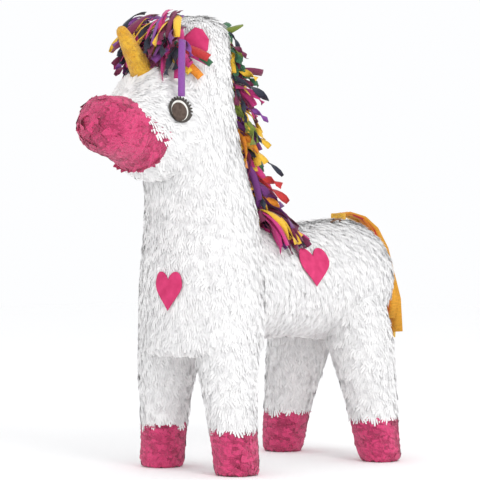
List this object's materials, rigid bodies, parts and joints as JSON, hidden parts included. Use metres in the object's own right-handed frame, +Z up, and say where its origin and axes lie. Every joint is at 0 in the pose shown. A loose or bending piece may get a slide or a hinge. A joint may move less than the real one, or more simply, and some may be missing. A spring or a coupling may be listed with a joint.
{
  "type": "unicorn pinata",
  "caption": "Hollow cardboard unicorn pinata on four legs, covered in white tissue fringe, with a fill flap, hanging loops and crepe streamers.",
  "frame": {"origin": "on the floor, under the middle of the figure's box", "axes": "+Z up, the head looks towards -Y, +X is the animal's left side"},
  "size_m": [0.2142, 0.516, 0.545],
  "materials": {
    "kraft_cardboard": "matte brown paperboard",
    "white_tissue": "matte white cut tissue fringe",
    "magenta_crepe": "matte crinkled crepe paper",
    "yellow_crepe": "matte crinkled crepe paper",
    "orange_crepe": "matte crepe streamers",
    "mixed_crepe": "matte crepe streamers in purple, magenta, yellow and green",
    "pink_paper": "matte coloured paper",
    "brown_felt": "matte dark card",
    "white_card": "matte white card",
    "wood_dowel": "bare wood",
    "brown_wire": "paper-covered wire"
  },
  "bodies": {
    "figure": {"barrel_fringe": "white_tissue", "barrel_tube": "kraft_cardboard", "chest_base_board": "kraft_cardboard", "chest_heart": "pink_paper", "chest_neck_fringe": "white_tissue", "chest_neck_shell": "kraft_cardboard", "forelock_streamers": "mixed_crepe", "front_hanger_dowel": "wood_dowel", "front_left_hoof_wrap": "magenta_crepe", "front_left_leg_fringe": "white_tissue", "front_left_leg_tube": "kraft_cardboard", "front_left_sole_disc": "kraft_cardboard", "front_right_hoof_wrap": "magenta_crepe", "front_right_leg_fringe": "white_tissue", "front_right_leg_tube": "kraft_cardboard", "front_right_sole_disc": "kraft_cardboard", "head_fringe": "white_tissue", "head_shell": "kraft_cardboard", "horn_core": "kraft_cardboard", "horn_wrap": "yellow_crepe", "left_ear": "pink_paper", "left_eye_iris": "brown_felt", "left_eye_lashes": "brown_felt", "left_eye_white": "white_card", "left_flank_heart": "pink_paper", "mane_crest_streamers": "mixed_crepe", "mane_drape_streamers": "mixed_crepe", "mane_strip": "white_card", "muzzle_wrap": "magenta_crepe", "rear_hanger_dowel": "wood_dowel", "rear_left_hoof_wrap": "magenta_crepe", "rear_left_leg_fringe": "white_tissue", "rear_left_leg_tube": "kraft_cardboard", "rear_left_sole_disc": "kraft_cardboard", "rear_right_hoof_wrap": "magenta_crepe", "rear_right_leg_fringe": "white_tissue", "rear_right_leg_tube": "kraft_cardboard", "rear_right_sole_disc": "kraft_cardboard", "right_ear": "pink_paper", "right_eye_iris": "brown_felt", "right_eye_lashes": "brown_felt", "right_eye_white": "white_card", "right_flank_heart": "pink_paper", "rump_dome": "kraft_cardboard", "tail_tab": "orange_crepe"},
    "flap": {"fill_flap": "kraft_cardboard", "flap_fringe": "white_tissue"},
    "front_loop": {"front_hanger_loop": "brown_wire"},
    "rear_loop": {"rear_hanger_loop": "brown_wire"},
    "tail": {"tail_streamers": "orange_crepe"}
  },
  "joints": [
    {"name": "fill_flap_hinge", "type": "hinge", "parent": "figure", "child": "flap", "pos_m": [-0.033, 0.08, 0.28591], "axis": [0, -1, 0], "range_deg": [0, 115]},
    {"name": "front_loop_swing", "type": "hinge", "parent": "figure", "child": "front_loop", "pos_m": [0, 0.031, 0.27593], "axis": [0, 1, 0], "range_deg": [0, 75]},
    {"name": "rear_loop_swing", "type": "hinge", "parent": "figure", "child": "rear_loop", "pos_m": [0, 0.131, 0.28092], "axis": [0, -1, 0], "range_deg": [0, 120]},
    {"name": "tail_lift", "type": "hinge", "parent": "figure", "child": "tail", "pos_m": [0, 0.1645, 0.302], "axis": [1, 0, 0], "range_deg": [0, 65]}
  ]
}
